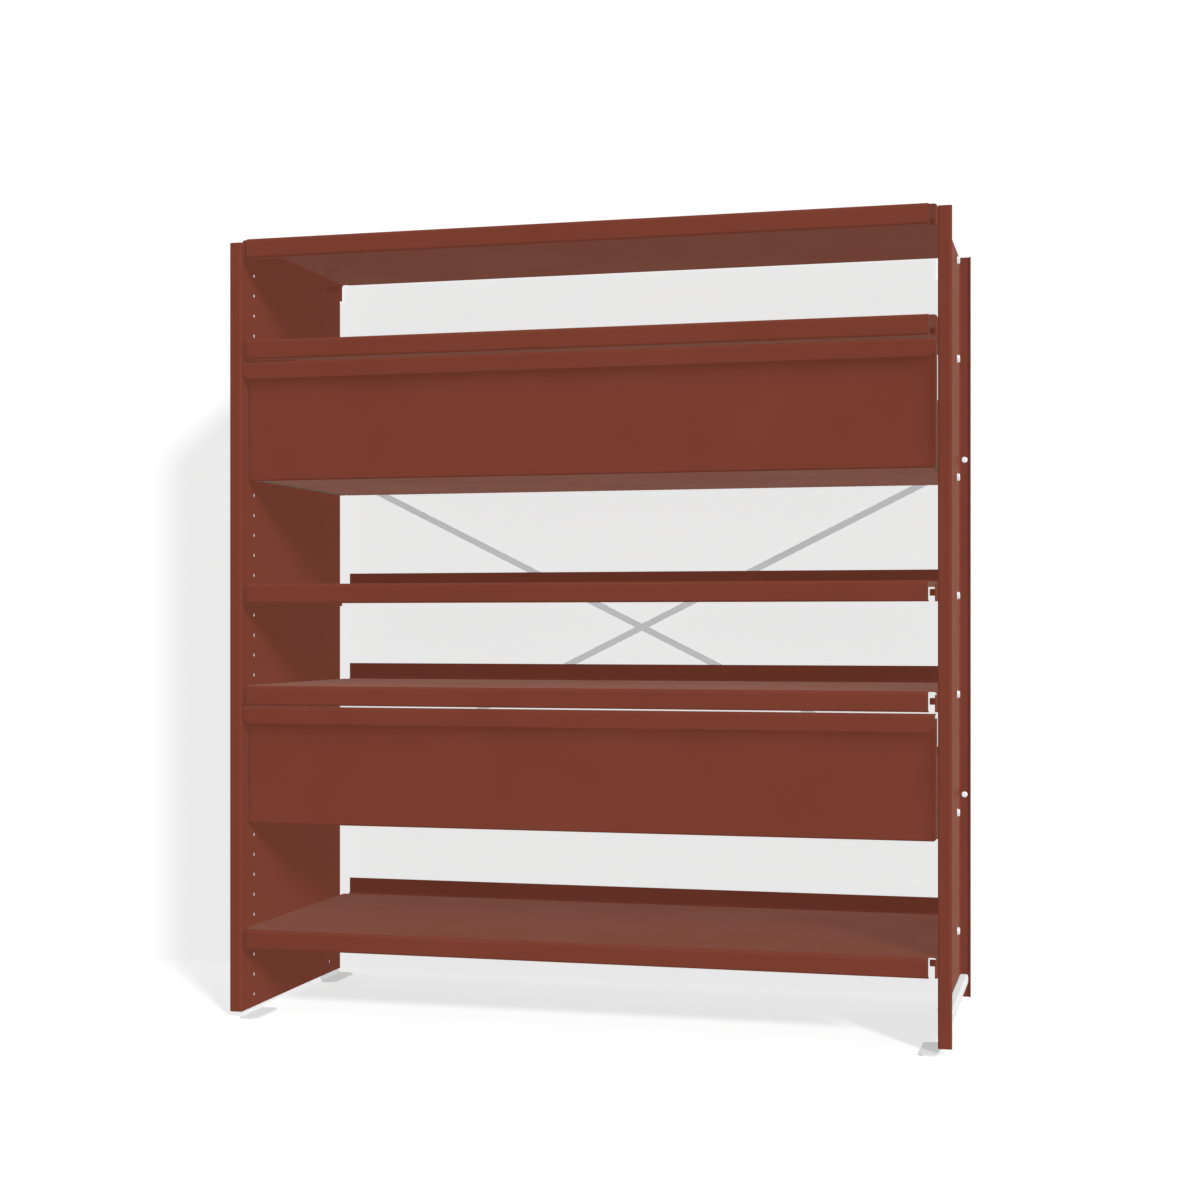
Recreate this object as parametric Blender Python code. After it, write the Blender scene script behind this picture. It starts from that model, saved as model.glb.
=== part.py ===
# Open highboard of folded sheet steel: two lipped channel uprights with rows of holes, five bolted
# shelves with a rear upstand, two drawers on telescopic runners, base rails with floor plates and a
# crossed pair of brace bars behind. Metres, +Z up, X across the width, the front faces -Y.
import math

import bmesh
import bpy
from mathutils import Matrix, Vector

# Clearances
SEAT_GAP = 0.0003
RUN_CLEARANCE = 0.0004

# Uprights
BAY_WIDTH = 1.020
UPRIGHT_DEPTH = 0.390
FLANGE_WIDTH = 0.019
LIP_DEPTH = 0.006
UPRIGHT_SHEET = 0.0015
UPRIGHT_BEND = 0.0035
HOLE_PITCH = 0.030
FIRST_HOLE = 0.018
TOP_MARGIN = 0.012
HOLE_DIAMETER = 0.0064
ROW_INSET = 0.047

# Levels, counted in holes from the lowest one
SHELF_HOLES = {"bottom": 3, "lower": 15, "middle": 20, "upper": 32, "top": 37}
DRAWER_HOLES = {"lower": 9, "upper": 26}
SHELF_ABOVE = {"lower": "lower", "upper": "upper"}

# Shelves
SHELF_SHEET = 0.0012
SHELF_BEND = 0.005
FRONT_OVERHANG = 0.0077
REAR_OVERHANG = 0.0122
FOLD_HEIGHT = 0.0285
FOLD_RETURN = 0.012
RETURN_BEND = 0.004
BOLT_DROP = 0.0155
UPSTAND_HEIGHT = 0.0261
CORNER_NOTCH = 0.0117
REAR_NOTCH = 0.003
FLANGE_RETURN = 0.0035
FLANGE_BEND = 0.0025
RIVET_DIAMETER = 0.0094
RIVET_LENGTH = 0.0134

# Drawers
FRONT_SHEET = 0.0012
FRONT_SETBACK = 0.020
FRONT_TOP_GAP = 0.0027
FRONT_SIDE_GAP = 0.0033
FRONT_DROP = 0.0103
FRONT_CORNER = 0.005
EDGE_BEND = 0.003
EDGE_RETURN = 0.012
GRIP_REACH = 0.020
GRIP_HEIGHT = 0.0246
GRIP_BEND = 0.005
GRIP_CORNER = 0.012
FRONT_NOTCH = 0.007
TRAY_SHEET = 0.0012
TRAY_HEIGHT = 0.106
TRAY_BEND = 0.004
TRAY_TAB = 0.012
TRAY_REAR_GAP = 0.006

# Telescopic runners
RUNNER_SHEET = 0.0012
RUNNER_BEND = 0.0018
RUNNER_HEIGHT = 0.035
RUNNER_WIDTH = 0.0127
RUNNER_SETBACK = 0.038
RUNNER_REAR_GAP = 0.007
RUNNER_BOLT_RISE = 0.0085

# Base rails with floor plates
RAIL_SHEET = 0.002
RAIL_BEND = 0.0035
RAIL_HEIGHT = 0.035
RAIL_LEDGE = 0.0132
RAIL_LIP = 0.012
RAIL_EDGE = 0.002
FOOT_RISE = 0.009
FOOT_LENGTH = 0.074
FOOT_INSET = 0.003
FOOT_REACH = 0.026
FOOT_CORNER = 0.006

# Crossed brace bars
BRACE_WIDTH = 0.010
BRACE_SHEET = 0.002
BRACE_RISE = 0.516
SLEEVE_LENGTH = 0.032
SLEEVE_DIAMETER = 0.012

# Bolts
HEX_FLATS = 0.010
HEAD_HEIGHT = 0.004
NUT_HEIGHT = 0.005
THREAD_END = 0.002
CLINCH_DIAMETER = 0.009
CLINCH_HEIGHT = 0.001

# Resolution of round forms
BEND_STEPS = 4
HOLE_SIDES = 8
HEX_SIDES = 6
BAR_END_STEPS = 6
WELD = 1e-6
SHARP_ANGLE = math.radians(32)

# Sizes that follow from the ones above
UPRIGHT_HEIGHT = FIRST_HOLE + HOLE_PITCH * max(SHELF_HOLES.values()) + TOP_MARGIN
WEB = BAY_WIDTH / 2
FLANGE_MIDDLE = WEB + FLANGE_WIDTH / 2
BOLT_ROWS = {"front": ROW_INSET, "rear": UPRIGHT_DEPTH - ROW_INSET}
TRAY_NOTCH = TRAY_SHEET + SEAT_GAP + TRAY_BEND
RUNNER_LENGTH = UPRIGHT_DEPTH - RUNNER_SETBACK - RUNNER_REAR_GAP
SIDES = {"left": -1, "right": 1}
HEX_RADIUS = HEX_FLATS / 2 / math.cos(math.pi / HEX_SIDES)
SHANK_RADIUS = HOLE_DIAMETER / 2 * math.cos(math.pi / HOLE_SIDES) - SEAT_GAP
BRACE_HEIGHTS = {"lower": UPRIGHT_HEIGHT / 2 - BRACE_RISE / 2, "upper": UPRIGHT_HEIGHT / 2 + BRACE_RISE / 2}
REAR_BAR = UPRIGHT_DEPTH + SEAT_GAP + SLEEVE_LENGTH + SEAT_GAP + BRACE_SHEET + SEAT_GAP
REAR_END = REAR_BAR + BRACE_SHEET + SEAT_GAP + HEAD_HEIGHT
DEPTH_CENTRE = (REAR_END - FRONT_OVERHANG) / 2

RED_BROWN = (0.198, 0.048, 0.031, 1)
GREY_PAINT = (0.48, 0.49, 0.50, 1)
PALE_GREY = (0.66, 0.68, 0.70, 1)
ZINC = (0.70, 0.70, 0.70, 1)
RUNNER_STEEL = (0.42, 0.43, 0.44, 1)


def finish(name, colour, roughness, metallic):
    """A plain surface finish."""
    material = bpy.data.materials.new(name)
    material.use_nodes = True
    shader = material.node_tree.nodes["Principled BSDF"]
    shader.inputs["Base Color"].default_value = colour
    shader.inputs["Roughness"].default_value = roughness
    shader.inputs["Metallic"].default_value = metallic
    return material


def add(name, mesh, material, parent, location=(0, 0, 0), turn=0.0, tilt=0.0):
    """Place a mesh as a named piece, turned about Z or tilted about Y."""
    piece = bpy.data.objects.new(name, mesh)
    if not mesh.materials:
        mesh.materials.append(material)
    piece.parent = parent
    piece.location = location
    piece.rotation_euler = (0, tilt, turn)
    bpy.context.collection.objects.link(piece)
    return piece


def pivot(name, parent, location):
    """An empty that carries pieces."""
    empty = bpy.data.objects.new(name, None)
    empty.parent = parent
    empty.location = location
    bpy.context.collection.objects.link(empty)
    return empty


def hole_height(number):
    """Height of a hole above the foot of the upright."""
    return FIRST_HOLE + HOLE_PITCH * number


def rounded(path, radii):
    """The path with each inner corner swapped for an arc of its radius."""
    result = [path[0]]
    for before, corner, after, radius in zip(path, path[1:], path[2:], radii):
        corner = Vector(corner)
        back = (Vector(before) - corner).normalized()
        ahead = (Vector(after) - corner).normalized()
        half = back.angle(ahead) / 2
        centre = corner + (back + ahead).normalized() * radius / math.sin(half)
        start = corner + back * radius / math.tan(half) - centre
        end = corner + ahead * radius / math.tan(half) - centre
        opening = math.pi - half * 2
        for step in range(BEND_STEPS + 1):
            turn = opening * step / BEND_STEPS
            spoke = (start * math.sin(opening - turn) + end * math.sin(turn)) / math.sin(opening)
            result.append(tuple(centre + spoke))
    result.append(path[-1])
    return result


def swept(path, place, stations):
    """Rows of points: the path set down at each station."""
    return [[place(u, v, station) for u, v in path] for station in stations]


def along_x(y, z, x):
    """A path in Y and Z, swept across the width."""
    return (x, y, z)


def along_y(x, z, y):
    """A path in X and Z, swept through the depth."""
    return (x, y, z)


def along_z(x, y, z):
    """A path in X and Y, swept upwards."""
    return (x, y, z)


def mirrored(path, side):
    """A path whose first value is X, on the left or the right."""
    return [(side * u, v) for u, v in path]


def holes(centres, axis, length):
    """Bolt holes to cut along an axis."""
    return ("DIFFERENCE", centres, axis, length, HOLE_DIAMETER)


def prisms(centres, axis, length, diameter):
    """A helper that holds eight-sided prisms along an axis."""
    turn = Vector((0, 0, 1)).rotation_difference(Vector(axis)).to_matrix().to_4x4()
    bm = bmesh.new()
    for centre in centres:
        bmesh.ops.create_cone(
            bm, cap_ends=True, segments=HOLE_SIDES, radius1=diameter / 2, radius2=diameter / 2, depth=length,
            matrix=Matrix.Translation(centre) @ turn)
    helper = bpy.data.objects.new("prisms", bpy.data.meshes.new("prisms"))
    bm.to_mesh(helper.data)
    bm.free()
    bpy.context.collection.objects.link(helper)
    helper.hide_render = True
    helper.display_type = "WIRE"
    return helper


def evaluated(bm, sheet=None, tools=()):
    """A finished mesh: the surface thickened inwards to its sheet, with its nuts added and its holes cut."""
    body = bpy.data.objects.new("body", bpy.data.meshes.new("body"))
    bm.to_mesh(body.data)
    bm.free()
    bpy.context.collection.objects.link(body)
    helpers = [body]
    if sheet:
        solid = body.modifiers.new("sheet", "SOLIDIFY")
        solid.thickness = sheet
        solid.offset = -1
        solid.use_even_offset = True
        solid.use_quality_normals = True
    for operation, centres, axis, length, diameter in tools:
        helper = prisms(centres, axis, length, diameter)
        helpers.append(helper)
        step = body.modifiers.new("prisms", "BOOLEAN")
        step.operation = operation
        step.solver = "EXACT"
        step.object = helper
    graph = bpy.context.evaluated_depsgraph_get()
    mesh = bpy.data.meshes.new_from_object(body.evaluated_get(graph))
    for helper in helpers:
        bpy.data.objects.remove(helper)
    mesh.shade_smooth()
    mesh.set_sharp_from_angle(angle=SHARP_ANGLE)
    return mesh


def folded(strips, sheet, outside, tools=(), flaps=()):
    """A folded sheet: strips of rows and flat flaps that share edges; the first face looks outside."""
    bm = bmesh.new()
    for rows in strips:
        rows = [[bm.verts.new(point) for point in row] for row in rows]
        for row, following in zip(rows, rows[1:]):
            for a, b, c, d in zip(row, row[1:], following[1:], following):
                bm.faces.new((a, b, c, d))
    for flap in flaps:
        bm.faces.new([bm.verts.new(corner) for corner in flap])
    bmesh.ops.remove_doubles(bm, verts=bm.verts, dist=WELD)
    bmesh.ops.recalc_face_normals(bm, faces=bm.faces)
    bm.faces.ensure_lookup_table()
    if bm.faces[0].normal.dot(Vector(outside)) < 0:
        bmesh.ops.reverse_faces(bm, faces=bm.faces)
    return evaluated(bm, sheet, tools)


def turned(stations, axis):
    """A six-sided bar along an axis through stations of distance and radius, closed at both ends."""
    turn = Vector((0, 0, 1)).rotation_difference(Vector(axis)).to_matrix()
    bm = bmesh.new()
    rings = []
    for distance, radius in stations:
        ring = []
        for index in range(HEX_SIDES):
            angle = 2 * math.pi * index / HEX_SIDES
            point = Vector((radius * math.cos(angle), radius * math.sin(angle), distance))
            ring.append(bm.verts.new(turn @ point))
        rings.append(ring)
    for ring, following in zip(rings, rings[1:]):
        for index in range(HEX_SIDES):
            after = (index + 1) % HEX_SIDES
            bm.faces.new((ring[index], ring[after], following[after], following[index]))
    bm.faces.new(rings[0])
    bm.faces.new(rings[-1])
    bmesh.ops.recalc_face_normals(bm, faces=bm.faces)
    return evaluated(bm)


def upright_mesh(side):
    """A lipped channel that opens outwards, with two rows of holes in its web."""
    outer = WEB + FLANGE_WIDTH
    path = rounded(
        [(outer, LIP_DEPTH), (outer, 0), (WEB, 0), (WEB, UPRIGHT_DEPTH), (outer, UPRIGHT_DEPTH),
         (outer, UPRIGHT_DEPTH - LIP_DEPTH)],
        [UPRIGHT_BEND] * 4)
    numbers = range(max(SHELF_HOLES.values()) + 1)
    web_holes = [(side * WEB, row, hole_height(number)) for row in BOLT_ROWS.values() for number in numbers]
    brace_holes = [(side * FLANGE_MIDDLE, UPRIGHT_DEPTH, height) for height in BRACE_HEIGHTS.values()]
    return folded(
        [swept(mirrored(path, side), along_z, (0, UPRIGHT_HEIGHT))], UPRIGHT_SHEET, (side, 0, 0),
        [holes(web_holes, (1, 0, 0), UPRIGHT_SHEET * 6), holes(brace_holes, (0, 1, 0), UPRIGHT_SHEET * 6)])


def base_rail_mesh(side):
    """A rail inside the foot of the channel: lipped ledge, wall and two floor plates with a toe in front."""
    wall = WEB + UPRIGHT_SHEET + SEAT_GAP
    plate = RAIL_SHEET - FOOT_RISE
    tip = WEB - FOOT_REACH
    neck = tip + FOOT_CORNER
    front = (FOOT_INSET, FOOT_INSET + FOOT_LENGTH)
    rear = (UPRIGHT_DEPTH - FOOT_INSET - FOOT_LENGTH, UPRIGHT_DEPTH - FOOT_INSET)
    ledge = wall + RAIL_LEDGE
    upper = rounded(
        [(ledge, RAIL_HEIGHT - RAIL_LIP), (ledge, RAIL_HEIGHT), (wall, RAIL_HEIGHT), (wall, RAIL_EDGE)],
        [RAIL_BEND] * 2)
    leg = rounded([(wall, RAIL_EDGE), (wall, plate), (neck, plate)], [RAIL_BEND])
    strips = [swept(mirrored(upper, side), along_y, front + rear)]
    flaps = []
    heel = wall - RAIL_BEND
    for (start, end), toe in ((front, -FRONT_OVERHANG), (rear, rear[0] - FRONT_OVERHANG)):
        strips.append(swept(mirrored(leg, side), along_y, (start, end)))
        nose = [(heel, toe), (neck, toe), (tip, toe + FOOT_CORNER), (tip, end - FOOT_CORNER), (neck, end),
                (neck, start), (heel, start)]
        flaps.append([(side * x, y, plate) for x, y in nose])
    return folded(strips, RAIL_SHEET, (side, 0, 0), flaps=flaps)


def shelf_mesh():
    """A shelf about the height of its bolts: folded front, side flanges with rivet nuts, rear upstand."""
    top = BOLT_DROP
    low = BOLT_DROP - FOLD_HEIGHT
    side_face = WEB - SEAT_GAP
    fold_end = side_face - CORNER_NOTCH
    rear_face = UPRIGHT_DEPTH + REAR_OVERHANG - SHELF_SHEET
    flange = (FLANGE_BEND, rear_face - SHELF_BEND - REAR_NOTCH)
    front = rounded(
        [(FOLD_RETURN - FRONT_OVERHANG, low), (-FRONT_OVERHANG, low), (-FRONT_OVERHANG, top), (flange[0], top)],
        [RETURN_BEND, SHELF_BEND])
    rear = rounded([(flange[1], top), (rear_face, top), (rear_face, top + UPSTAND_HEIGHT)], [RETURN_BEND])
    wing = rounded([(fold_end, top), (side_face, top), (side_face, low)], [SHELF_BEND])
    stop = rounded([(side_face, flange[0]), (side_face, 0), (side_face - FLANGE_RETURN, 0)], [FLANGE_BEND])[1:]
    strips = [swept(front + rear, along_x, (-fold_end, fold_end))]
    for side in SIDES.values():
        strips.append(swept(mirrored(wing, side), along_y, flange))
        strips.append(swept(mirrored(stop, side), along_z, (low, top - SHELF_BEND)))
    spots = [(side, row) for side in SIDES.values() for row in BOLT_ROWS.values()]
    nut_middle = side_face - SHELF_SHEET / 2 - RIVET_LENGTH / 2
    nuts = [(side * nut_middle, row, 0) for side, row in spots]
    drills = [(side * side_face, row, 0) for side, row in spots]
    return folded(
        strips, SHELF_SHEET, (0, 0, -1),
        [("UNION", nuts, (1, 0, 0), RIVET_LENGTH, RIVET_DIAMETER), holes(drills, (1, 0, 0), RIVET_LENGTH * 3)])


def front_edge(low, high):
    """The lower outline of a drawer front from the right to the left: points with their outward direction."""
    side = BAY_WIDTH / 2 - FRONT_SIDE_GAP - FRONT_SHEET
    radius = FRONT_CORNER - FRONT_SHEET
    right = [(side, high, 1, 0)]
    for step in range(BEND_STEPS + 1):
        angle = -math.pi / 2 * step / BEND_STEPS
        out, up = math.cos(angle), math.sin(angle)
        right.append((side - radius + radius * out, low + radius + radius * up, out, up))
    left = [(-x, z, -out, up) for x, z, out, up in reversed(right)]
    return right + left


def drawer_front_mesh(top):
    """A drawer front: grip lip folded forward, and a flange that runs round the lower corners in one piece."""
    half = BAY_WIDTH / 2 - FRONT_SIDE_GAP
    middle = half - GRIP_CORNER
    panel = FRONT_SETBACK + FRONT_SHEET
    lip = FRONT_SETBACK - GRIP_REACH
    lip_low = top - GRIP_HEIGHT
    edge_top = top - FRONT_NOTCH
    ledge = panel - FRONT_NOTCH
    grip = rounded([(lip, lip_low), (lip, top), (ledge, top)], [GRIP_BEND])
    corner = rounded([(ledge, top), (panel, top), (panel, edge_top)], [GRIP_BEND])
    bend = EDGE_BEND - FRONT_SHEET
    flange = rounded([(bend, panel), (0, panel), (0, panel + EDGE_RETURN)], [bend])[1:]
    edge = [
        [(x - out * inset, y, z - up * inset) for inset, y in flange]
        for x, z, out, up in front_edge(FRONT_SHEET - FRONT_DROP, edge_top)]
    strips = [swept(grip + corner[1:], along_x, (-middle, middle)), edge]
    for side in SIDES.values():
        rows = []
        for step in range(BEND_STEPS + 1):
            angle = math.pi / 2 * step / BEND_STEPS
            x = side * (middle + GRIP_CORNER * math.sin(angle))
            rise = GRIP_CORNER * (1 - math.cos(angle))
            rows.append([(x, lip, lip_low + rise)] + [(x, y, z) for y, z in grip[1:]])
        strips.append(rows)
    face = [row[0] for row in edge] + [(-middle, panel, edge_top), (middle, panel, edge_top)]
    return folded(strips, FRONT_SHEET, (0, -1, 0), flaps=[face])


def tray_mesh():
    """A drawer tray: a bottom with four upright walls, and tabs that lap the side walls round the corners."""
    half = BAY_WIDTH / 2 - SEAT_GAP - RUNNER_WIDTH - SEAT_GAP
    middle = half - TRAY_NOTCH
    front = FRONT_SETBACK + FRONT_SHEET + SEAT_GAP
    rear = UPRIGHT_DEPTH - TRAY_REAR_GAP
    low = FRONT_SHEET - FRONT_DROP + SEAT_GAP
    top = low + TRAY_HEIGHT
    wings = (front + TRAY_NOTCH, rear - TRAY_NOTCH)
    near = rounded([(front, top), (front, low), (wings[0], low)], [TRAY_BEND])
    far = rounded([(wings[1], low), (rear, low), (rear, top)], [TRAY_BEND])
    wing = rounded([(middle, low), (half, low), (half, top)], [TRAY_BEND])
    lap = TRAY_SHEET + SEAT_GAP
    strips = [swept(near + far, along_x, (-middle, middle))]
    for side in SIDES.values():
        strips.append(swept(mirrored(wing, side), along_y, wings))
        for start, face in zip(wings, (front + lap, rear - lap)):
            tab = rounded([(half, start), (half, face), (half - TRAY_TAB, face)], [TRAY_BEND])[1:]
            strips.append(swept(mirrored(tab, side), along_z, (low + TRAY_BEND, top)))
    return folded(strips, TRAY_SHEET, (0, -1, 0))


def runner_mesh(side, back, tip, inset, tools=()):
    """One member of a runner: a channel whose back and flange tips lie at distances from the web."""
    low = inset - RUNNER_BOLT_RISE
    high = RUNNER_HEIGHT - RUNNER_BOLT_RISE - inset
    path = rounded([(WEB - tip, low), (WEB - back, low), (WEB - back, high), (WEB - tip, high)], [RUNNER_BEND] * 2)
    stations = (RUNNER_SETBACK, RUNNER_SETBACK + RUNNER_LENGTH)
    return folded([swept(mirrored(path, side), along_y, stations)], RUNNER_SHEET, (0, 0, -1), tools)


def bolt_mesh(inner_end):
    """A hexagon bolt along X about the inner face of the web, with its inner end as given."""
    head = UPRIGHT_SHEET + SEAT_GAP
    stations = [(head + HEAD_HEIGHT, HEX_RADIUS), (head, HEX_RADIUS), (head, SHANK_RADIUS)]
    return turned(stations + inner_end, (1, 0, 0))


def brace_bolt_mesh(bar):
    """A bolt along Y about the rear face of the flange: nut, sleeve up to the bar, head behind it."""
    nut = -UPRIGHT_SHEET - SEAT_GAP
    sleeve = bar - UPRIGHT_DEPTH - SEAT_GAP
    head = bar - UPRIGHT_DEPTH + BRACE_SHEET + SEAT_GAP
    return turned(
        [(nut - NUT_HEIGHT, HEX_RADIUS), (nut, HEX_RADIUS), (nut, SHANK_RADIUS), (SEAT_GAP, SHANK_RADIUS),
         (SEAT_GAP, SLEEVE_DIAMETER / 2), (sleeve, SLEEVE_DIAMETER / 2), (sleeve, SHANK_RADIUS),
         (head, SHANK_RADIUS), (head, HEX_RADIUS), (head + HEAD_HEIGHT, HEX_RADIUS)],
        (0, 1, 0))


def brace_mesh(reach):
    """A flat bar along X with round ends and a bolt hole near each end."""
    radius = BRACE_WIDTH / 2
    outline = []
    for end in (1, -1):
        for step in range(BAR_END_STEPS + 1):
            angle = math.pi / 2 * (1 - 2 * step / BAR_END_STEPS)
            x = end * (reach + radius * math.cos(angle))
            outline.append((x, 0, end * radius * math.sin(angle)))
    ends = [(-reach, 0, 0), (reach, 0, 0)]
    return folded([], BRACE_SHEET, (0, -1, 0), [holes(ends, (0, 1, 0), BRACE_SHEET * 6)], [outline])


for existing in list(bpy.data.objects):
    bpy.data.objects.remove(existing)

red_paint = finish("red_brown_paint", RED_BROWN, 0.5, 0)
grey_paint = finish("grey_paint", GREY_PAINT, 0.45, 0)
pale_paint = finish("pale_grey_paint", PALE_GREY, 0.45, 0)
zinc = finish("zinc", ZINC, 0.35, 1)
runner_steel = finish("runner_steel", RUNNER_STEEL, 0.35, 1)

root = pivot("highboard", None, (0, -DEPTH_CENTRE, FOOT_RISE))

# Uprights and base rails
for side_name, side in SIDES.items():
    add(f"upright_{side_name}", upright_mesh(side), red_paint, root)
    add(f"base_rail_{side_name}", base_rail_mesh(side), pale_paint, root)

# Shelves, each held by four bolts in its rivet nuts
shelf = shelf_mesh()
shelf_bolt = bolt_mesh([(THREAD_END - SEAT_GAP - RIVET_LENGTH, SHANK_RADIUS)])
for level, number in SHELF_HOLES.items():
    height = hole_height(number)
    add(f"shelf_{level}", shelf, red_paint, root, (0, 0, height))
    for side_name, side in SIDES.items():
        for row_name, row in BOLT_ROWS.items():
            name = f"shelf_bolt_{level}_{side_name}_{row_name}"
            add(name, shelf_bolt, zinc, root, (side * WEB, row, height), 0.0 if side > 0 else math.pi)

# Drawers: front and tray move with the drawer rails, the middle rails follow at half the travel
cabinet_back = SEAT_GAP
clinch = cabinet_back + RUNNER_SHEET + SEAT_GAP
middle_back = clinch + CLINCH_HEIGHT + RUN_CLEARANCE
drawer_tip = middle_back + RUNNER_SHEET + RUN_CLEARANCE
drawer_back = SEAT_GAP + RUNNER_WIDTH
middle_tip = drawer_back - RUNNER_SHEET - RUN_CLEARANCE
nesting = RUNNER_SHEET + RUN_CLEARANCE
runner_bolt = bolt_mesh(
    [(-clinch, SHANK_RADIUS), (-clinch, CLINCH_DIAMETER / 2), (-clinch - CLINCH_HEIGHT, CLINCH_DIAMETER / 2)])
rail_meshes = {}
for side_name, side in SIDES.items():
    rail_holes = [(side * WEB, row, 0) for row in BOLT_ROWS.values()]
    rail_meshes[side_name] = {
        "cabinet": runner_mesh(side, cabinet_back, middle_tip, 0, [holes(rail_holes, (1, 0, 0), RUNNER_SHEET * 6)]),
        "middle": runner_mesh(side, middle_back, middle_tip, nesting),
        "drawer": runner_mesh(side, drawer_back, drawer_tip, nesting * 2),
    }
tray = tray_mesh()
for level, number in DRAWER_HOLES.items():
    height = hole_height(number)
    room = hole_height(SHELF_HOLES[SHELF_ABOVE[level]]) - height
    front_top = room + BOLT_DROP - FOLD_HEIGHT - FRONT_TOP_GAP
    drawer = pivot(f"{level}_drawer_slide", root, (0, 0, height))
    middle = pivot(f"{level}_middle_slide", root, (0, 0, height))
    add(f"{level}_drawer_front", drawer_front_mesh(front_top), red_paint, drawer)
    add(f"{level}_drawer_tray", tray, red_paint, drawer)
    for side_name, side in SIDES.items():
        rails = rail_meshes[side_name]
        add(f"{level}_cabinet_rail_{side_name}", rails["cabinet"], runner_steel, root, (0, 0, height))
        add(f"{level}_middle_rail_{side_name}", rails["middle"], runner_steel, middle)
        add(f"{level}_drawer_rail_{side_name}", rails["drawer"], runner_steel, drawer)
        for row_name, row in BOLT_ROWS.items():
            name = f"runner_bolt_{level}_{side_name}_{row_name}"
            add(name, runner_bolt, zinc, root, (side * WEB, row, height), 0.0 if side > 0 else math.pi)

# Crossed brace bars behind the uprights, one in front of the other
slope = math.atan2(BRACE_RISE, FLANGE_MIDDLE * 2)
bar_mesh = brace_mesh(math.hypot(BRACE_RISE, FLANGE_MIDDLE * 2) / 2)
front_bar = REAR_BAR - SEAT_GAP - BRACE_SHEET
for bar_name, bar, rise in (("falling", front_bar, 1), ("rising", REAR_BAR, -1)):
    add(f"brace_{bar_name}", bar_mesh, grey_paint, root, (0, bar, UPRIGHT_HEIGHT / 2), 0.0, rise * slope)
    brace_bolt = brace_bolt_mesh(bar)
    for side_name, side in SIDES.items():
        row_name = "upper" if side * rise < 0 else "lower"
        spot = (side * FLANGE_MIDDLE, UPRIGHT_DEPTH, BRACE_HEIGHTS[row_name])
        add(f"brace_bolt_{row_name}_{side_name}", brace_bolt, zinc, root, spot)
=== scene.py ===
import math

import bmesh
import bpy
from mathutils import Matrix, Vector


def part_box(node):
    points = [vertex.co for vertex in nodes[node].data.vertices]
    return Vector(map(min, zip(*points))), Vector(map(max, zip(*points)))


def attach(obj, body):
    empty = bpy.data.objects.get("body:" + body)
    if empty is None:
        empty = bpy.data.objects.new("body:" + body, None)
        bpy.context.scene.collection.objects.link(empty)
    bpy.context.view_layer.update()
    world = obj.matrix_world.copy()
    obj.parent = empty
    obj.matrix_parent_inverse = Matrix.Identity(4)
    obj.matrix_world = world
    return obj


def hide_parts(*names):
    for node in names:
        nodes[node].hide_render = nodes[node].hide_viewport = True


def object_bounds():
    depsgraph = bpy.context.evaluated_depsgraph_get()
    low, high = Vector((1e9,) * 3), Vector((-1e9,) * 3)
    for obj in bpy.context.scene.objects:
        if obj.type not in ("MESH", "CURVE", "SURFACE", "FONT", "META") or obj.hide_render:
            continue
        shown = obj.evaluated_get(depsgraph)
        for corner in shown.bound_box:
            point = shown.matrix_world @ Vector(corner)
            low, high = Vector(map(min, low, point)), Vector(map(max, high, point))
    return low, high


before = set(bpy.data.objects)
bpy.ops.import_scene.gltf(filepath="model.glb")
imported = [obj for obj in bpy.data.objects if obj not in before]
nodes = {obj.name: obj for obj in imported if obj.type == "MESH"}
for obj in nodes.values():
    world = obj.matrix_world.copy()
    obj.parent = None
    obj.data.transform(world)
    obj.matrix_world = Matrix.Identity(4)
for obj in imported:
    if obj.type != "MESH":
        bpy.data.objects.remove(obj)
cad_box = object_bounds()

# Camera
# A moderate telephoto held level at table height, to the right of the unit.
# The frame is moved down a little, which keeps the uprights upright.
camera = bpy.data.objects.new("camera", bpy.data.cameras.new("camera"))
camera.data.sensor_width = 36
camera.data.lens = 58.647
camera.data.shift_y = 0.0217
camera.location = (0.7273, -2.88335, 0.5806)
camera.rotation_euler = (math.radians(90), 0, math.radians(14.45))
bpy.context.collection.objects.link(camera)
bpy.context.scene.camera = camera

# Uprights
# Two lipped channels of 1.5 mm mild steel, punched with two rows of holes and folded on a press brake.
# They are powder coated after folding, so the coat covers the edges and the rims of the holes.


def linear(hex_colour):
    """An sRGB hex colour as linear red, green, blue and alpha."""
    parts = [int(hex_colour[i:i + 2], 16) / 255 for i in (1, 3, 5)]
    return [p / 12.92 if p <= 0.04045 else ((p + 0.055) / 1.055) ** 2.4 for p in parts] + [1]


def add_node(material, kind, settings=None, links=None):
    """Adds a node to a material, with settings by input name or property and links by input name."""
    node = material.node_tree.nodes.new(kind)
    for name, value in (settings or {}).items():
        if isinstance(name, int) or name in node.inputs:
            node.inputs[name].default_value = value
        else:
            setattr(node, name, value)
    for name, source in (links or {}).items():
        material.node_tree.links.new(source, node.inputs[name])
    return node


def per_metre(millimetres):
    """The noise scale that gives marks of this size."""
    return 1000 / millimetres


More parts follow.
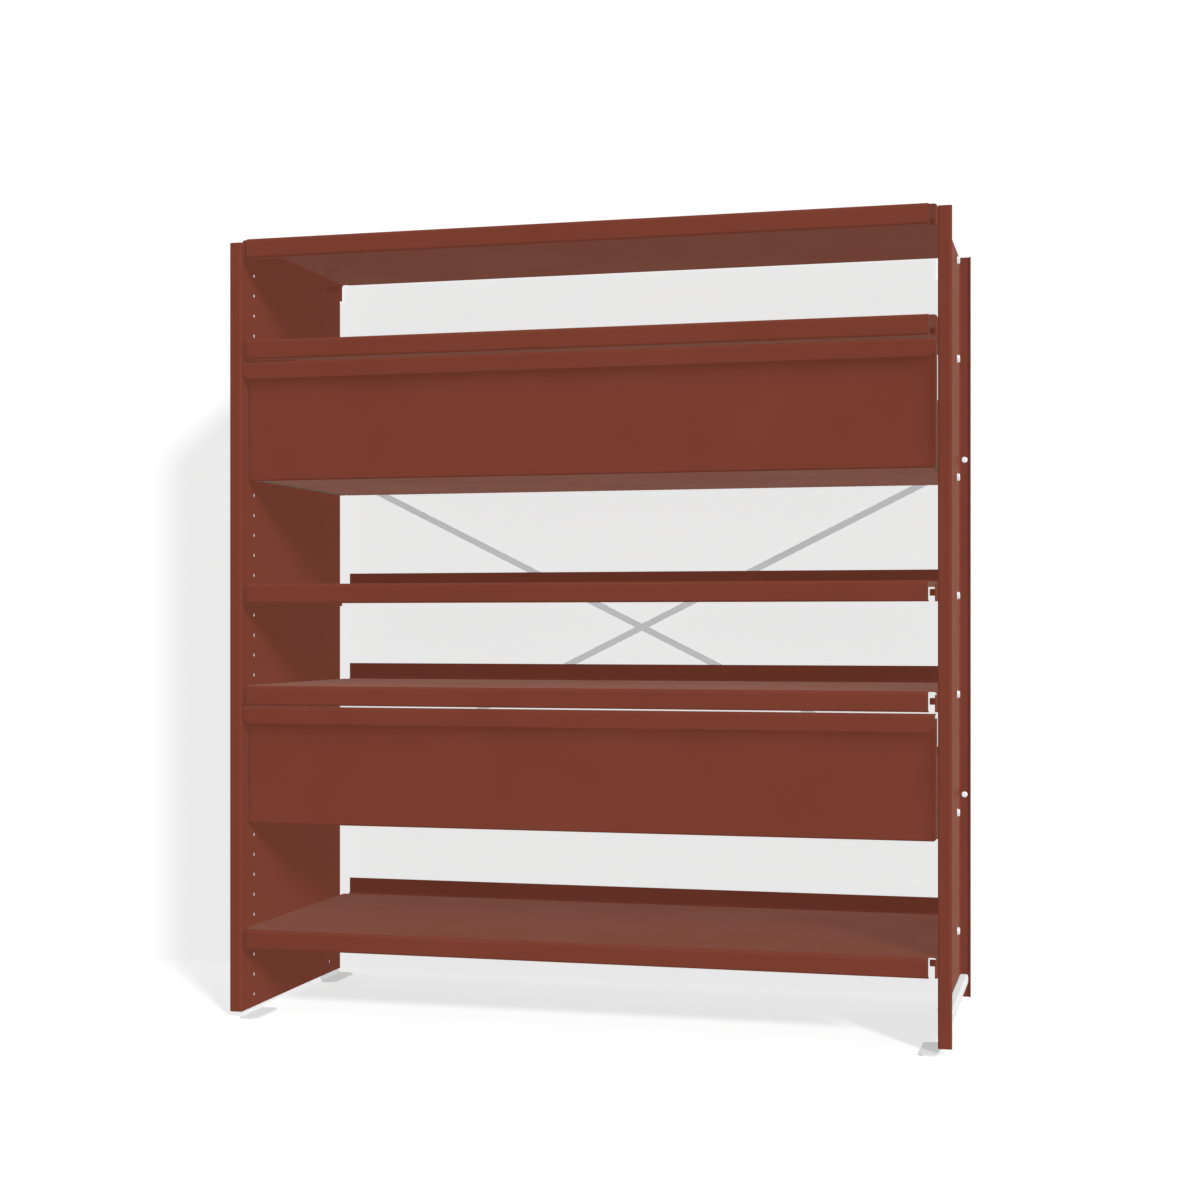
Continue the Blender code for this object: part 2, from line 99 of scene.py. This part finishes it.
def powder_coat(name, colour, thin_colour, dullest, glossiest):
    """A baked polyester powder coat: even satin colour, a slow change in film thickness and orange peel."""
    material = bpy.data.materials.new(name)
    material.use_nodes = True
    shader = material.node_tree.nodes["Principled BSDF"]
    shader.inputs["IOR"].default_value = 1.5
    # The matted film throws little light back. Only its clear skin, closed over a small part of it,
    # shines at a low angle.
    shader.inputs["Specular IOR Level"].default_value = 0.015
    shader.inputs["Coat Weight"].default_value = 0.07
    shader.inputs["Coat IOR"].default_value = 1.1
    shader.inputs["Coat Roughness"].default_value = 0.15
    place = add_node(material, "ShaderNodeTexCoord").outputs["Object"]
    # The film runs a few hundredths thicker and thinner over a hand's breadth, which shifts the colour a shade.
    film = add_node(material, "ShaderNodeTexNoise", {"Scale": per_metre(140), "Detail": 2.0}, {"Vector": place})
    # Pigment grains and dust nibs are under 0.1 mm; they are drawn at 2 mm so that they show at all.
    grain = add_node(material, "ShaderNodeTexNoise", {"Scale": per_metre(2), "Detail": 3.0}, {"Vector": place})
    grain_share = 0.3
    mixed = add_node(material, "ShaderNodeMath", {"operation": "MULTIPLY_ADD", 1: grain_share},
                     {0: grain.outputs["Fac"], 2: film.outputs["Fac"]})
    shade = add_node(material, "ShaderNodeMapRange",
                     {"From Min": 0.45, "From Max": 0.85}, {"Value": mixed.outputs["Value"]})
    tint = add_node(material, "ShaderNodeMix",
                    {"data_type": "RGBA", "A": linear(thin_colour), "B": linear(colour)},
                    {"Factor": shade.outputs["Result"]})
    material.node_tree.links.new(tint.outputs["Result"], shader.inputs["Base Color"])
    gloss = add_node(material, "ShaderNodeMapRange",
                     {"From Min": 0.3, "From Max": 0.7, "To Min": glossiest, "To Max": dullest},
                     {"Value": film.outputs["Fac"]})
    material.node_tree.links.new(gloss.outputs["Result"], shader.inputs["Roughness"])
    # Orange peel has waves of 1 to 5 mm, a few micrometres high.
    peel = add_node(material, "ShaderNodeTexNoise", {"Scale": per_metre(4), "Detail": 1.0}, {"Vector": place})
    bump = add_node(material, "ShaderNodeBump", {"Strength": 0.25, "Distance": 0.0001},
                    {"Height": peel.outputs["Fac"]})
    material.node_tree.links.new(bump.outputs["Normal"], shader.inputs["Normal"])
    return material


def dress(names, material):
    """Gives CAD pieces a finish. A matt film mirrors the room as a haze, and no picture of its neighbours."""
    for name in names:
        piece = nodes[name]
        piece.data.materials.clear()
        piece.data.materials.append(material)
        piece.visible_glossy = False


red_coat = powder_coat("red-brown polyester powder coat", "#793E30", "#753B2D", dullest=0.62, glossiest=0.52)
dress(["upright_left", "upright_right"], red_coat)

# Base rails
# A 2 mm folded rail stands inside the foot of each upright and ends in two flat plates on the floor.
# It has a pale grey powder coat, so that it does not show against a floor.
pale_coat = powder_coat("pale grey polyester powder coat", "#ECEEEF", "#E6E8E9", dullest=0.52, glossiest=0.42)
dress(["base_rail_left", "base_rail_right"], pale_coat)

# Shelves
# Trays of 1.2 mm steel turned upside down: a front fold, side flanges with rivet nuts and a rear upstand.
# A rivet nut grips the flange with a bulge, pressed out of its body before the coat went on.
levels = ("bottom", "lower", "middle", "upper", "top")
dress([f"shelf_{level}" for level in levels], red_coat)

millimetre = 0.001
steps = 48


def circle(radius, distance):
    """A ring of points about the Z axis, from sizes in millimetres."""
    turns = [2 * math.pi * step / steps for step in range(steps)]
    return [(radius * millimetre * math.cos(turn), radius * millimetre * math.sin(turn), distance * millimetre)
            for turn in turns]


def circles(profile):
    """Rings from a profile of radius and distance, both in millimetres."""
    return [circle(radius, distance) for radius, distance in profile]


def turned_mesh(name, rings, material):
    """A closed mesh through rings about the Z axis, with flat ends."""
    bm = bmesh.new()
    rows = [[bm.verts.new(point) for point in ring] for ring in rings]
    for row, following in zip(rows, rows[1:]):
        for step in range(steps):
            after = (step + 1) % steps
            bm.faces.new((row[step], row[after], following[after], following[step]))
    bm.faces.new(reversed(rows[0]))
    bm.faces.new(rows[-1])
    bmesh.ops.recalc_face_normals(bm, faces=bm.faces)
    mesh = bpy.data.meshes.new(name)
    bm.to_mesh(mesh)
    bm.free()
    mesh.shade_smooth()
    mesh.set_sharp_from_angle(angle=math.radians(28))
    mesh.materials.append(material)
    return mesh


bulge_profile = [(4.0, 0), (5.6, 0), (6.2, 0.6), (6.4, 1.3), (6.1, 2.1), (5.3, 2.9), (4.6, 3.6), (4.0, 3.8)]
bulge = turned_mesh("rivet_bulge", circles(bulge_profile), red_coat)
flange_face = 0.5087
for name in list(nodes):
    if name.startswith("shelf_bolt_"):
        low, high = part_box(name)
        side = 1 if low[0] > 0 else -1
        rivet = bpy.data.objects.new(name.replace("shelf_bolt", "rivet_bulge"), bulge)
        rivet.location = (side * flange_face, (low[1] + high[1]) / 2, (low[2] + high[2]) / 2)
        rivet.rotation_euler = (0, -side * math.pi / 2, 0)
        rivet.visible_glossy = False
        bpy.context.collection.objects.link(rivet)
        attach(rivet, "frame")

# Drawers
# A front of 1.2 mm steel with a grip lip folded forward along its top and an edge turned back round its corners.
# It is spot welded to a folded tray, and both are powder coated together, inside and out.
drawers = ("lower", "upper")
dress([f"{level}_drawer_{part}" for level in drawers for part in ("front", "tray")], red_coat)

# Runners
# Three nested channels of cold-rolled strip on each side of a drawer, zinc plated, with a film of old oil.
# Rolling leaves fine lines along the strip; the oil has browned and dulls the zinc in patches.
runner_zinc = bpy.data.materials.new("oiled zinc-plated strip steel")
runner_zinc.use_nodes = True
runner_shader = runner_zinc.node_tree.nodes["Principled BSDF"]
runner_shader.inputs["Metallic"].default_value = 1
thick_oil = linear("#7F726A")
thin_oil = linear("#8C7E75")
# The browned oil also takes the shine at a low angle, where clean zinc turns white.
runner_shader.inputs["Specular Tint"].default_value = thick_oil
place = add_node(runner_zinc, "ShaderNodeTexCoord").outputs["Object"]
# The rolling lines are 0.05 mm apart in truth; they are drawn 0.8 mm apart and 60 mm long so that they show.
stretch = add_node(runner_zinc, "ShaderNodeMapping",
                   {"Scale": (per_metre(0.8), per_metre(60), per_metre(0.8))}, {"Vector": place})
lines = add_node(runner_zinc, "ShaderNodeTexNoise", {"Scale": 1.0, "Detail": 2.0},
                 {"Vector": stretch.outputs["Vector"]})
# Oil gathers in patches of about 35 mm.
oil = add_node(runner_zinc, "ShaderNodeTexNoise", {"Scale": per_metre(35), "Detail": 3.0}, {"Vector": place})
oily = add_node(runner_zinc, "ShaderNodeMapRange", {"From Min": 0.42, "From Max": 0.62},
                {"Value": oil.outputs["Fac"]})
strip = add_node(runner_zinc, "ShaderNodeMix", {"data_type": "RGBA", "A": thin_oil, "B": thick_oil},
                 {"Factor": oily.outputs["Result"]})
runner_zinc.node_tree.links.new(strip.outputs["Result"], runner_shader.inputs["Base Color"])
dull = add_node(runner_zinc, "ShaderNodeMapRange",
                {"From Min": 0.3, "From Max": 0.7, "To Min": 0.5, "To Max": 0.64}, {"Value": lines.outputs["Fac"]})
runner_zinc.node_tree.links.new(dull.outputs["Result"], runner_shader.inputs["Roughness"])
scored = add_node(runner_zinc, "ShaderNodeBump", {"Strength": 0.2, "Distance": 0.0001},
                  {"Height": lines.outputs["Fac"]})
runner_zinc.node_tree.links.new(scored.outputs["Normal"], runner_shader.inputs["Normal"])
dress([f"{level}_{member}_rail_{side}" for level in drawers for member in ("cabinet", "middle", "drawer")
       for side in ("left", "right")], runner_zinc)

# Shelf and runner bolts
# M6 hexagon bolts with a pressed dish in the head and a plain washer, put through the web from outside.
# They have a zinc flake coat, which looks a matt silvery white: the flakes of zinc and aluminium mirror
# about a quarter of the light, and the thin binder between them scatters the rest.
flake_zinc = bpy.data.materials.new("zinc flake coat")
flake_zinc.use_nodes = True
bolt_shader = flake_zinc.node_tree.nodes["Principled BSDF"]
bolt_shader.inputs["Metallic"].default_value = 0.25
place = add_node(flake_zinc, "ShaderNodeTexCoord").outputs["Object"]
# Thicker and thinner binder changes the cast from warm to cool over about 5 mm.
cast = add_node(flake_zinc, "ShaderNodeTexNoise", {"Scale": per_metre(5), "Detail": 2.0}, {"Vector": place})
silver = add_node(flake_zinc, "ShaderNodeMix",
                  {"data_type": "RGBA", "A": linear("#F4F4F3"), "B": linear("#E2E5E8")},
                  {"Factor": cast.outputs["Fac"]})
flake_zinc.node_tree.links.new(silver.outputs["Result"], bolt_shader.inputs["Base Color"])
# Knocks from the coating barrel are 0.2 mm marks, drawn at 0.8 mm.
knocks = add_node(flake_zinc, "ShaderNodeTexNoise", {"Scale": per_metre(0.8), "Detail": 1.0}, {"Vector": place})
matted = add_node(flake_zinc, "ShaderNodeMapRange", {"To Min": 0.45, "To Max": 0.6},
                  {"Value": knocks.outputs["Fac"]})
flake_zinc.node_tree.links.new(matted.outputs["Result"], bolt_shader.inputs["Roughness"])
dented = add_node(flake_zinc, "ShaderNodeBump", {"Strength": 0.15, "Distance": 0.0001},
                  {"Height": knocks.outputs["Fac"]})
flake_zinc.node_tree.links.new(dented.outputs["Normal"], bolt_shader.inputs["Normal"])

# Sizes of the bolts in millimetres. Distances run outwards from the web.
half_flats = 5.0
chamfer_slope = math.tan(math.radians(30))
shank = 2.9
shank_tip = 2.4
washer_radius = 6.0
washer_height = 1.0
collar = 4.7
collar_height = 1.2
head_height = 4.0


def hexagon(distance, lean=0.0):
    """A ring on the flats of a hexagon that leans back towards its corners, as a chamfer leaves it."""
    chamfer_radius = half_flats * 0.96
    ring = []
    for step in range(steps):
        turn = 2 * math.pi * step / steps
        radius = half_flats / math.cos((turn + math.pi / 6) % (math.pi / 3) - math.pi / 6)
        height = distance - lean * (radius - chamfer_radius)
        ring.append((radius * millimetre * math.cos(turn), radius * millimetre * math.sin(turn),
                     height * millimetre))
    return ring


def washer(near, far):
    """The rings of a plain washer between two distances, with its edges broken."""
    rim = washer_radius - 0.3
    edge = 0.2
    return circles([(rim, near), (washer_radius, near + edge), (washer_radius, far - edge), (rim, far)])


dish_profile = [(half_flats * 0.93, head_height), (3.4, head_height), (3.0, head_height - 0.4),
                (0.4, head_height - 0.5)]
head = ([circle(shank, 0)] + washer(0, washer_height)
        + circles([(collar, washer_height), (collar, collar_height)])
        + [hexagon(collar_height), hexagon(head_height, chamfer_slope)] + circles(dish_profile))
shelf_bolt_end = circles([(shank_tip, -12.9), (shank, -12.4)])
runner_bolt_end = circles([(4.3, -4.3), (4.5, -3.4), (shank, -3.4)])
bolt_meshes = {"shelf": turned_mesh("shelf_bolt", shelf_bolt_end + head, flake_zinc),
               "runner": turned_mesh("runner_bolt", runner_bolt_end + head, flake_zinc)}
web_face = 0.5115
for name in list(nodes):
    kind = name.split("_bolt_")[0]
    if kind in bolt_meshes:
        low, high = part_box(name)
        side = 1 if low[0] > 0 else -1
        bolt = bpy.data.objects.new(f"{name}_turned", bolt_meshes[kind])
        bolt.location = (side * web_face, (low[1] + high[1]) / 2, (low[2] + high[2]) / 2)
        bolt.rotation_euler = (0, side * math.pi / 2, 0)
        bpy.context.collection.objects.link(bolt)
        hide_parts(name)
        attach(bolt, "frame")

# Braces
# Two flat bars of 2 mm steel with round ends cross behind the uprights and keep the unit square.
# They have a light grey powder coat and lie one in front of the other where they cross.
bar_coat = powder_coat("light grey polyester powder coat", "#E6E8EA", "#E0E2E4", dullest=0.55, glossiest=0.45)
dress(["brace_falling", "brace_rising"], bar_coat)

# Brace bolts
# Mushroom-head bolts through the rear flange; a spacer tube carries the bar clear of the shelves' upstands.
# A washer and a nut behind the bar hold it. All have the zinc flake coat of the other bolts.
sheet = 1.5
bar_thickness = 2.0
brace_washer = 0.9
nut_height = 2.9
thread_end = 0.5
mushroom_profile = [(0.6, -3.75), (2.7, -3.7), (3.6, -3.5), (4.2, -3.0), (4.4, -2.5), (4.5, -2.0), (4.5, -sheet),
                    (shank, -sheet), (shank, 0)]
flange_back = nodes["upright_right"].bound_box[6][1]
for name in list(nodes):
    if name.startswith("brace_bolt_"):
        low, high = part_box(name)
        # Distances behind the flange, in millimetres: the bar's two faces, the washer's back and the nut's back.
        nut_back = (high[1] - flange_back) / millimetre - thread_end
        washer_back = nut_back - nut_height
        bar_back = washer_back - brace_washer
        bar_front = bar_back - bar_thickness
        tube = [(5.6, 0), (6.0, 0.4), (6.0, bar_front - 0.4), (5.6, bar_front), (shank, bar_front),
                (shank, bar_back)]
        thread = [(shank, nut_back), (shank, nut_back + 0.1), (shank_tip, nut_back + thread_end)]
        nut = [hexagon(washer_back, -chamfer_slope), hexagon(nut_back, chamfer_slope)]
        mesh = turned_mesh(name, circles(mushroom_profile + tube) + washer(bar_back, washer_back) + nut
                           + circles(thread), flake_zinc)
        bolt = bpy.data.objects.new(f"{name}_turned", mesh)
        bolt.location = ((low[0] + high[0]) / 2, flange_back, (low[2] + high[2]) / 2)
        bolt.rotation_euler = (-math.pi / 2, 0, 0)
        bpy.context.collection.objects.link(bolt)
        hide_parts(name)
        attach(bolt, "frame")

# Floor, wall and light
# The unit stands close to a white wall on a pale floor, with one soft lamp at the front right and light all round.
# Floor and wall show white to the eye, to metal and to glass, and keep the shadow of the key lamp.


def in_sight(material):
    """An output that is 1 for rays from the eye, from metal and from glass, and 0 for the others."""
    path = add_node(material, "ShaderNodeLightPath")
    eye_or_metal = add_node(material, "ShaderNodeMath", {"operation": "MAXIMUM"},
                            {0: path.outputs["Is Camera Ray"], 1: path.outputs["Is Glossy Ray"]})
    any_of_three = add_node(material, "ShaderNodeMath", {"operation": "MAXIMUM"},
                            {0: eye_or_metal.outputs["Value"], 1: path.outputs["Is Transmission Ray"]})
    return any_of_three.outputs["Value"]


def studio_surface(name, corners, shadow_colour, glow):
    """A plain matt surface of the studio, white where the key lamp reaches it."""
    surface = bpy.data.objects.new(name, bpy.data.meshes.new(name))
    surface.data.from_pydata(corners, [], [(0, 1, 2, 3)])
    bpy.context.collection.objects.link(surface)
    paint = bpy.data.materials.new(f"matt white {name} paint")
    paint.use_nodes = True
    paint.node_tree.nodes.clear()
    # What the surface throws back on the unit is kept low.
    bounce = add_node(paint, "ShaderNodeBsdfDiffuse", {"Color": linear("#8C8C8C")})
    matt = add_node(paint, "ShaderNodeBsdfDiffuse", {"Color": linear(shadow_colour)})
    # Gloss picks the surface up a little warmer, as if the far end of the room had a warmer light.
    gloss_ray = add_node(paint, "ShaderNodeLightPath").outputs["Is Glossy Ray"]
    white = add_node(paint, "ShaderNodeMix",
                     {"data_type": "RGBA", "A": linear("#FFFFFF"), "B": linear("#FFF3E2")}, {"Factor": gloss_ray})
    lit = add_node(paint, "ShaderNodeEmission", {"Strength": glow}, {"Color": white.outputs["Result"]})
    shown = add_node(paint, "ShaderNodeAddShader", None, {0: matt.outputs["BSDF"], 1: lit.outputs["Emission"]})
    front = add_node(paint, "ShaderNodeMixShader", None,
                     {0: in_sight(paint), 1: bounce.outputs["BSDF"], 2: shown.outputs["Shader"]})
    # Seen from behind or below, the surface is clear, so that it never hides the unit.
    facing = add_node(paint, "ShaderNodeNewGeometry")
    clear = add_node(paint, "ShaderNodeBsdfTransparent")
    both = add_node(paint, "ShaderNodeMixShader", None,
                    {0: facing.outputs["Backfacing"], 1: front.outputs["Shader"], 2: clear.outputs["BSDF"]})
    add_node(paint, "ShaderNodeOutputMaterial", None, {"Surface": both.outputs["Shader"]})
    surface.data.materials.append(paint)
    return surface


span = 40
wall_gap = 0.004
wall_place = cad_box[1][1] + wall_gap
floor_corners = [(-span, -span, 0), (span, -span, 0), (span, span, 0), (-span, span, 0)]
wall_corners = [(-span, wall_place, 0), (span, wall_place, 0), (span, wall_place, span), (-span, wall_place, span)]
floor = studio_surface("floor", floor_corners, shadow_colour="#FAFAFA", glow=0.755)
wall = studio_surface("wall", wall_corners, shadow_colour="#CCCCCC", glow=0.793)
wall.visible_diffuse = False
wall.visible_shadow = False

# The room is white to look at and gives the unit a little light.
room_light = 0.12
world = bpy.data.worlds.new("studio")
bpy.context.scene.world = world
world.use_nodes = True
world.node_tree.nodes.clear()
brightness = add_node(world, "ShaderNodeMapRange", {"To Min": room_light, "To Max": 1.0}, {"Value": in_sight(world)})
room = add_node(world, "ShaderNodeBackground", {"Color": linear("#FFFFFF")},
                {"Strength": brightness.outputs["Result"]})
add_node(world, "ShaderNodeOutputWorld", None, {"Surface": room.outputs["Background"]})


def light_group(name, pieces, state):
    """A group of pieces that a lamp lights alone, with INCLUDE, or leaves out, with EXCLUDE."""
    group = bpy.data.collections.new(name)
    for piece in pieces:
        group.objects.link(piece)
    for entry in group.collection_objects:
        entry.light_linking.link_state = state
    return group


def lamp(name, strength, towards, group, width=0):
    """A far lamp, with its width in degrees. One with no width casts no shadow and leaves no gleam."""
    sun = bpy.data.objects.new(name, bpy.data.lights.new(name, "SUN"))
    sun.data.energy = strength * math.pi
    sun.data.angle = math.radians(width)
    sun.data.use_shadow = width > 0
    sun.data.cycles.max_bounces = 0
    sun.visible_glossy = width > 0
    sun.rotation_euler = Vector(towards).to_track_quat("Z", "Y").to_euler()
    sun.light_linking.receiver_collection = group
    bpy.context.collection.objects.link(sun)


# Close to the edge that casts it, the shadow of a small lamp is crisp. So the pieces get the key lamp through
# a screen, and the drawer fronts through a wide one that glows as well. That blurs the shadows of the shelves
# on the uprights and of the grip lips on the fronts.
key_strength = 0.475
key_place = (0.54, -0.718, 0.438)
fronts = [nodes[f"{level}_drawer_front"] for level in drawers]
stage = light_group("stage", [floor, wall], "INCLUDE")
screened = light_group("all but stage and fronts", [floor, wall] + fronts, "EXCLUDE")
only_fronts = light_group("drawer fronts", fronts, "INCLUDE")
off_stage = light_group("all but stage", [floor, wall], "EXCLUDE")
lamp("key lamp", key_strength, key_place, stage, width=7)
lamp("screened key lamp", key_strength, key_place, screened, width=16)
lamp("front key lamp", 0.31, key_place, only_fronts, width=52)
lamp("front screen", 0.285, key_place, only_fronts)

# Fill lamps stand all round, along the axes and the diagonals, a little stronger to the right. They cast no shadow,
# and they leave out the floor and the wall, which take their shadow from the key lamp.
axis_fill = 0.245
diagonal_fill = 0.149
right_lift = 0.15
for x in (-1, 0, 1):
    for y in (-1, 0, 1):
        for z in (-1, 0, 1):
            axes = abs(x) + abs(y) + abs(z)
            if axes in (1, 3):
                strength = axis_fill if axes == 1 else diagonal_fill
                lamp("fill lamp", strength * (1 + right_lift * x), (x, y, z), off_stage)

bpy.context.scene.view_settings.view_transform = "Standard"
